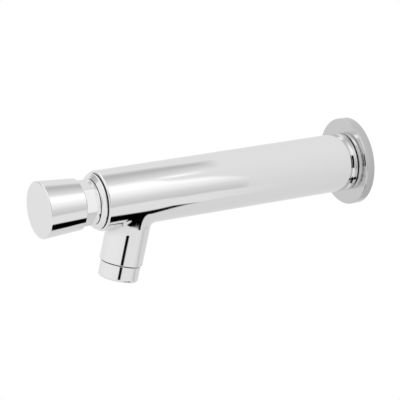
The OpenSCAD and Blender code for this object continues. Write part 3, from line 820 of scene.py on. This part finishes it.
# %% The honeycomb tree
comb_rings = 3
comb, given = new_tree("honeycomb", [
    ("Pitch", "Float"), ("Wall", "Float"), ("Depth", "Float"), ("Middle", "Vector"), ("Lean", "Vector"),
    ("Material", "Material")])
grid = add(comb, "GeometryNodeMeshGrid", {
    "Size X": 2.0 * comb_rings, "Size Y": 2.0 * comb_rings, "Vertices X": 2 * comb_rings + 1,
    "Vertices Y": 2 * comb_rings + 1}).outputs["Mesh"]
spot = add(comb, "ShaderNodeSeparateXYZ", {0: add(comb, "GeometryNodeInputPosition").outputs[0]}).outputs
row_sum = add(comb, MATH, {0: spot["X"], 1: spot["Y"]}, operation="ADD").outputs[0]
far_out = add(comb, MATH, {0: row_sum}, operation="ABSOLUTE").outputs[0]
outside = add(comb, MATH, {0: far_out, 1: comb_rings + 0.5}, operation="GREATER_THAN").outputs[0]
cells = add(comb, "GeometryNodeDeleteGeometry", {"Geometry": grid, "Selection": outside}, domain="POINT")
skew = add(comb, MATH, {0: spot["Y"], 1: 0.5, 2: spot["X"]}, operation="MULTIPLY_ADD").outputs[0]
row = add(comb, MATH, {0: spot["Y"], 1: math.sin(math.pi / 3)}, operation="MULTIPLY").outputs[0]
skewed = add(comb, COMBINE, {"X": skew, "Y": row}).outputs[0]
lattice = add(comb, "ShaderNodeVectorMath", {0: skewed, "Scale": given["Pitch"]},
              operation="SCALE").outputs[0]
points = add(comb, "GeometryNodeSetPosition", {"Geometry": cells.outputs[0], "Position": lattice}).outputs[0]
cell_w = add(comb, MATH, {0: given["Pitch"], 1: given["Wall"]}, operation="SUBTRACT").outputs[0]
cell_r = add(comb, MATH, {0: cell_w, 1: 2 * math.cos(math.pi / 6)}, operation="DIVIDE").outputs[0]
six_sides = add(comb, "GeometryNodeMeshCircle", {"Vertices": 6, "Radius": cell_r}).outputs[0]
hexagon = add(comb, "GeometryNodeMeshToCurve", {"Mesh": six_sides}).outputs[0]
hexagon = add(comb, "GeometryNodeSetCurveNormal", {"Curve": hexagon}, mode="Z_UP").outputs[0]
strip = add(comb, "GeometryNodeCurvePrimitiveQuadrilateral",
            {"Width": given["Wall"], "Height": given["Depth"]}).outputs[0]
cell = add(comb, "GeometryNodeCurveToMesh", {"Curve": hexagon, "Profile Curve": strip}).outputs[0]
placed = add(comb, "GeometryNodeInstanceOnPoints",
             {"Points": points, "Instance": cell, "Rotation": (0, 0, math.pi / 6)}).outputs[0]
laid = add(comb, "GeometryNodeTransform",
           {"Geometry": placed, "Translation": given["Middle"], "Rotation": given["Lean"]}).outputs[0]
close_tree(comb, laid, given, False)

# %% [markdown]
# The honeycomb sits in the end of a turned cup, which leans with the spout.

# %% Jet former
comb_lo, comb_hi, comb_gap = spout_len + 3, aerator_end - 2.2, 0.1
cup_in, cup_out, cup_top, cup_round, mouth_round = 9.25, 10.4, spout_len - 4.4, 0.3, 0.15
former = skin("jet_former_cup", turn(half_section(
    (cup_in, cup_top), (cup_out, cup_top),
    bend(cup_out - cup_round, comb_hi - cup_round, cup_round, 0, 90, 5),
    bend(cup_in + mouth_round, comb_hi - mouth_round, mouth_round, 90, 180, 4)), SPOUT, around=AROUND // 2))
dress(former, acetal, "body", "aerator_insert")
comb_middle = (SPOUT[0] + SPOUT[3] * (comb_lo + comb_hi) / 2) * MM
honeycomb = plain_mesh("jet_former_honeycomb", comb, {
    "Pitch": 2.6 * MM, "Wall": 0.28 * MM, "Depth": (comb_hi - comb_gap - comb_lo) * MM,
    "Middle": tuple(comb_middle), "Lean": (math.pi - spout_lean, 0, 0), "Material": acetal})
dress(honeycomb, acetal, "body", "aerator_insert")

# %% [markdown]
# ## The pieces inside
# The timing works sit inside the barrel. Their CAD shape is already what a lathe would make, so they keep it
# and take the finish of their material.

# %% Finishes of the pieces inside
INSIDE = {
    brass: ["cartridge_housing", "timing_screw", "valve_carrier"],
    steel: ["inlet_strainer", "valve_seat", "button_locknut", "stem", "stop_clip", "valve_nut"],
    rubber: ["plug_seal", "aerator_washer", "seat_seal", "cartridge_seals", "stem_seal", "piston_cup_seal",
             "valve_washer"],
    acetal: ["flow_regulator", "stem_guide", "button_slide_ring", "piston"],
}
for finish, names in INSIDE.items():
    for name in names:
        coat(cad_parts[name], finish)
print(sum(len(names) for names in INSIDE.values()), "pieces inside keep their CAD shape")

# %% [markdown]
# ## Studio
# Chrome has hardly any colour of its own: what is seen on it is the studio. The tap hangs in an even white
# light, and cards round it make the grey, white and black bands on the metal. A card glows evenly and fades
# out at its edges, where its points say how much of it covers the light behind.

# %% A card that shows only in the chrome
def card(name, brightness, spots, cover):
    mesh = bpy.data.meshes.new(name)
    mesh.from_pydata((spots.reshape(-1, 3) * MM).tolist(), [], grid_quads(*cover.shape).tolist())
    mesh.attributes.new("cover", "FLOAT", "POINT").data.foreach_set("value", cover.reshape(-1))
    glow = bpy.data.materials.new(name)
    glow.use_nodes = True
    tree = glow.node_tree
    tree.nodes.clear()
    light = add(tree, "ShaderNodeEmission", {"Strength": brightness}).outputs[0]
    clear = add(tree, "ShaderNodeBsdfTransparent").outputs[0]
    share = add(tree, "ShaderNodeAttribute", attribute_name="cover").outputs["Fac"]
    mixed = add(tree, "ShaderNodeMixShader", {0: share, 1: clear, 2: light}).outputs[0]
    add(tree, "ShaderNodeOutputMaterial", {"Surface": mixed})
    mesh.materials.append(glow)
    made = bpy.data.objects.new(name, mesh)
    bpy.context.scene.collection.objects.link(made)
    made.visible_camera = made.visible_diffuse = made.visible_shadow = False
    print(f"{name}: brightness {brightness}, {len(mesh.polygons)} faces")


# %% [markdown]
# A panel is a card that is bent round the barrel's axis. It is drawn as stations: a place along the axis
# with the angles where the panel starts and stops there. Three numbers say how far it fades at its low edge,
# its high edge and its two ends. Each panel stands a little further out than the one before, so that no two
# lie in each other. The low, side and overhead panels make the bands on barrel and button. The wall and front
# panels shade the flange's rim and light its edge, and the last two show when the tap is seen from behind.

# %% Panels bent round the barrel
PANEL_R, PANEL_GAP, PANEL_ROWS, PANEL_COLUMNS = 300.0, 2.0, 28, 40
PANELS = [
    ("black_low", 0.0, (4, 4, 16), [
        (-198, -62, -55), (-188, -66, -53), (-165, -70, -50), (-150, -67.7, -48.8), (-130, -64.3, -47.3),
        (-112, -64, -47.3), (-102, -67, -48), (-92, -82, -48), (-72, -82, -48), (-60, -79.5, -49),
        (-50, -80.5, -49.5), (-42, -80, -50), (-36, -76, -50), (-30, -70, -49), (-24, -66.5, -48),
        (-12, -59.5, -44), (0, -54, -46), (14, -52, -48)]),
    ("grey_low", 0.35, (3, 3, 12), [(-190, -81, -75), (-150, -86, -79), (-120, -91, -84), (-95, -96, -89)]),
    ("white_streak", 1.2, (6, 6, 24), [(-30, 60, 70), (-13, 57, 71), (24, 58, 71)]),
    ("white_side", 1.32, (39, 16, 15), [
        (-130, 10, 70), (-38, 10, 70), (-26, 10, 67), (-13, 10, 57), (-1, 10, 52), (11, 10, 50), (29, 10, 45),
        (47, 10, 33), (66, 10, 16)]),
    ("grey_side", 0.67, (8, 26, 8), [
        (-130, -20, 13), (-70, -20, 13), (-60, -17, 13), (-25, -16, 13), (0, -20, 13), (30, -20, 13),
        (66, -24, 8)]),
    ("grey_overhead", 0.585, (32, 15, 23), [
        (-140, 70, 126), (-60, 68, 126), (-20, 68, 124), (10, 70, 120), (45, 74, 114)]),
    ("pale_low", 0.9, (4, 6, 90), [(-300, -50, -12), (0, -50, -12), (110, -46, -20)]),
    ("grey_wall", 0.64, (20, 270, 6), [(176, -120, 190), (300, -120, 190)]),
    ("white_front", 1.6, (8, 8, 20), [(-440, 30, 60), (-340, 62, 92), (-268, 92, 124), (-165, 112, 142)]),
    ("grey_far_side", 0.55, (30, 20, 60), [(-600, 118, 180), (-300, 118, 180)]),
    ("grey_near_side", 0.55, (22, 25, 60), [(-760, 18, 75), (-455, 18, 75)]),
]
for n, (name, brightness, (fade_low, fade_high, fade_ends), stations) in enumerate(PANELS):
    y, low, high = np.array(stations, float).T
    reach = np.unique(np.concatenate([y, np.linspace(y[0], y[-1], PANEL_COLUMNS)]))
    low, high = np.interp(reach, y, low)[:, None], np.interp(reach, y, high)[:, None]
    turns = low + (high - low) * np.linspace(0, 1, PANEL_ROWS + 1)
    cover = np.minimum((turns - low) / fade_low, (high - turns) / fade_high)
    cover = np.minimum(cover, (np.minimum(reach - y[0], y[-1] - reach) / fade_ends)[:, None])
    turns, r = np.radians(turns), PANEL_R + n * PANEL_GAP
    spots = np.stack([r * np.cos(turns), np.repeat(reach[:, None], PANEL_ROWS + 1, 1), r * np.sin(turns)], -1)
    card(name, brightness, spots, np.clip(cover, 0, 1))

# %% [markdown]
# One more card is flat: a dark upright beside the camera. It makes the black line down the spout and the
# black mark on the rear plug's rim.

# %% A dark upright on the camera's side
upright_at, upright_wide, upright_tall, upright_fade = np.array((1254.0, -736.0, 280.0)), 440, 1240, 0.15
sideways = np.cross((0, 0, 1), upright_at - SPOUT[0])
sideways = sideways / np.linalg.norm(sideways)
across, along = np.meshgrid(np.linspace(-0.5, 0.5, 9), np.linspace(-0.5, 0.5, 9))
spots = (upright_at + across[..., None] * upright_wide * sideways
         + along[..., None] * np.array((0, 0, upright_tall)))
card("dark_upright", 0.0, spots, np.minimum(1, (0.5 - np.abs(across)) / upright_fade))

# %% [markdown]
# The light itself comes from the whole sky of the studio, a little brighter above and in front than below
# and at the wall. The floor is well below the tap, pale and evenly lit, and stays out of the chrome.

# %% World and floor
sky_mean, sky_slant = 0.887, (0, -0.083, 0.065)
world = bpy.data.worlds.new("studio")
bpy.context.scene.world = world
world.use_nodes = True
sky = world.node_tree
direction = add(sky, "ShaderNodeTexCoord").outputs["Generated"]
slant = add(sky, "ShaderNodeVectorMath", {0: direction, 1: sky_slant},
            operation="DOT_PRODUCT").outputs["Value"]
strength = add(sky, MATH, {0: slant, 1: sky_mean}, operation="ADD")
sky.links.new(strength.outputs[0], sky.nodes["Background"].inputs["Strength"])
sky.nodes["Background"].inputs["Color"].default_value = linear("#FFFFFF")
bpy.context.scene.view_settings.view_transform = "Standard"
floor_half, floor_z = 12, -0.35
floor_mesh = bpy.data.meshes.new("floor")
floor_corners = [(x * floor_half, y * floor_half, floor_z) for x, y in ((-1, -1), (1, -1), (1, 1), (-1, 1))]
floor_mesh.from_pydata(floor_corners, [], [(0, 1, 2, 3)])
floor = bpy.data.objects.new("floor", floor_mesh)
bpy.context.scene.collection.objects.link(floor)
floor.visible_glossy = False
pale = bpy.data.materials.new("pale_floor")
pale.use_nodes = True
pale.node_tree.nodes.clear()
light = add(pale.node_tree, "ShaderNodeEmission", {"Color": linear("#FFFFFF")}).outputs[0]
add(pale.node_tree, "ShaderNodeOutputMaterial", {"Surface": light})
floor_mesh.materials.append(pale)
print("floor at", floor_z, "m, sky", sky_mean, "on the average")
